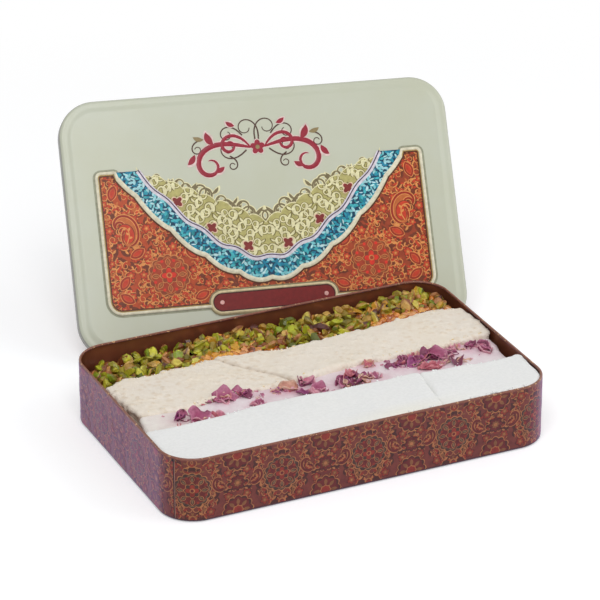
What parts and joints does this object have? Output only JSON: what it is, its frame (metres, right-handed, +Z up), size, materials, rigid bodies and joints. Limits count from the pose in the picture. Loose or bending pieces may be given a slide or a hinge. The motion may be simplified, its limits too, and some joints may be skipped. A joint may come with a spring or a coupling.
{
  "type": "sweets tin",
  "caption": "Shallow printed tinplate box with rounded corners, its slip lid off and leaning behind it, filled with rows of nougat and pistachio brittle.",
  "frame": {"origin": "middle of the tin's flat bottom face, on the table", "axes": "+X along the tin's long sides to the right, +Y to the back where the lid stands, +Z up"},
  "size_m": [0.3176, 0.3281, 0.1542],
  "materials": {
    "wall_print": "gloss",
    "gold_lacquer": "gloss",
    "lid_print": "gloss",
    "caramel": "gloss",
    "pistachio": "satin",
    "cream_nougat": "matte",
    "rose_nougat": "matte",
    "dried_rose": "matte",
    "white_nougat": "matte"
  },
  "bodies": {
    "tin": {"body_wall": "wall_print", "bottom_panel": "gold_lacquer"},
    "lid": {"lid_shell": "lid_print"},
    "pistachio_row": {"pistachio_bar": "caramel", "pistachio_kernels": "pistachio"},
    "cream_row_left": {"cream_bar_left": "cream_nougat"},
    "cream_row_right": {"cream_bar_right": "cream_nougat"},
    "rose_row": {"rose_bar": "rose_nougat", "rose_petals": "dried_rose"},
    "white_row_long": {"white_bar_long": "white_nougat"},
    "white_row_short": {"white_bar_short": "white_nougat"}
  },
  "joints": [
    {"name": "lid_lift", "type": "slide", "parent": "tin", "child": "lid", "axis": [0, 0, 1], "range_m": [0, 0.1]},
    {"name": "pistachio_lift", "type": "slide", "parent": "tin", "child": "pistachio_row", "axis": [0, 0, 1], "range_m": [0, 0.06]},
    {"name": "cream_left_lift", "type": "slide", "parent": "tin", "child": "cream_row_left", "axis": [0, 0, 1], "range_m": [0, 0.06]},
    {"name": "cream_right_lift", "type": "slide", "parent": "tin", "child": "cream_row_right", "axis": [0, 0, 1], "range_m": [0, 0.06]},
    {"name": "rose_lift", "type": "slide", "parent": "tin", "child": "rose_row", "axis": [0, 0, 1], "range_m": [0, 0.06]},
    {"name": "white_long_lift", "type": "slide", "parent": "tin", "child": "white_row_long", "axis": [0, 0, 1], "range_m": [0, 0.06]},
    {"name": "white_short_lift", "type": "slide", "parent": "tin", "child": "white_row_short", "axis": [0, 0, 1], "range_m": [0, 0.06]}
  ]
}
